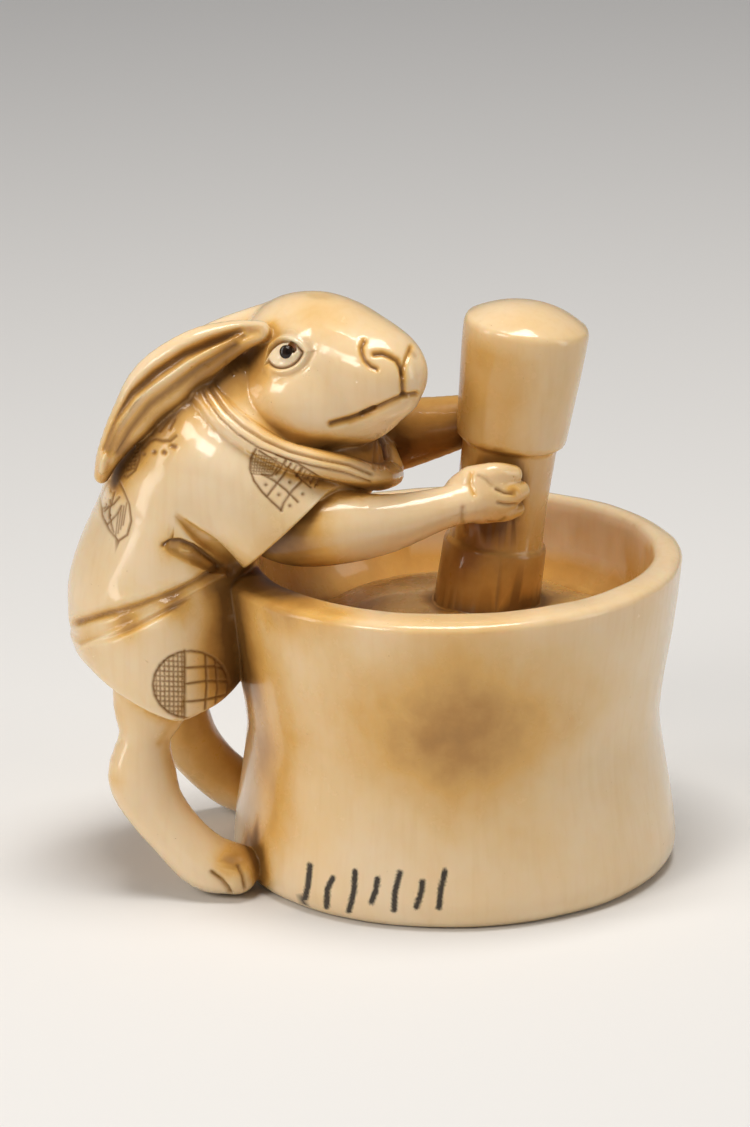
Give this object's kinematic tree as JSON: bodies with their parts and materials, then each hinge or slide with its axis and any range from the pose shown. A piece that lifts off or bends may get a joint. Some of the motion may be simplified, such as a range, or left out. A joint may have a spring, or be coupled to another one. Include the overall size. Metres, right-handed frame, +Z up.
{
  "type": "netsuke",
  "caption": "Carved ivory netsuke of a rabbit in a short jacket leaning over a waisted mortar and gripping an upright pestle, with two cord holes below",
  "frame": {"origin": "centre of the mortar's flat underside, which the netsuke stands on", "axes": "+Z up along the mortar's axis; +X from the rabbit towards the far rim of the mortar; +Y to the rabbit's left"},
  "size_m": [0.0379, 0.0286, 0.0366],
  "materials": {
    "ivory": "polished ivory, warm cream with amber and brown stain in the recesses",
    "horn": "polished dark horn inlay"
  },
  "bodies": {
    "root": {"rabbit_and_mortar": "ivory", "pupil_right": "horn", "pupil_left": "horn"}
  },
  "joints": []
}
